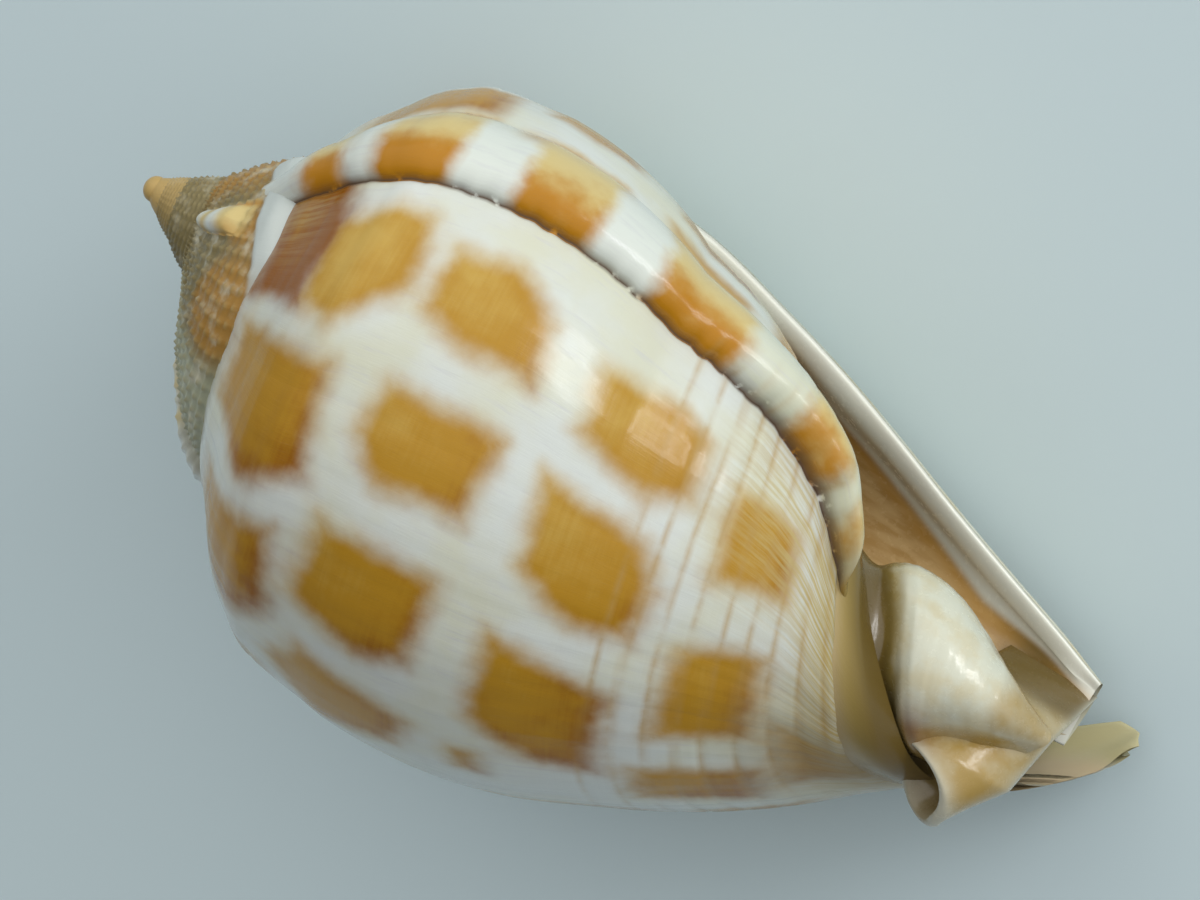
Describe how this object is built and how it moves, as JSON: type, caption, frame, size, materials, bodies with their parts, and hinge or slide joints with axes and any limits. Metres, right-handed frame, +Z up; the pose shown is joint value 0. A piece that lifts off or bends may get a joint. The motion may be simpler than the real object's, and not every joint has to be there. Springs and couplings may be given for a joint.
{
  "type": "gastropod shell",
  "caption": "Glossy checkered bonnet sea snail shell, lying on the rim of its opening, with striped growth ribs, a columellar shield and an upturned siphon notch.",
  "frame": {"origin": "centre of the bounding box at the plane the shell rests on", "axes": "+X from the apex toward the front (siphon) end, +Z up as the shell lies at rest, the back of the last whorl upward"},
  "size_m": [0.0698, 0.0416, 0.0356],
  "materials": {
    "glazed_shell": "glossy"
  },
  "bodies": {
    "root": {"shell": "glazed_shell"}
  },
  "joints": []
}
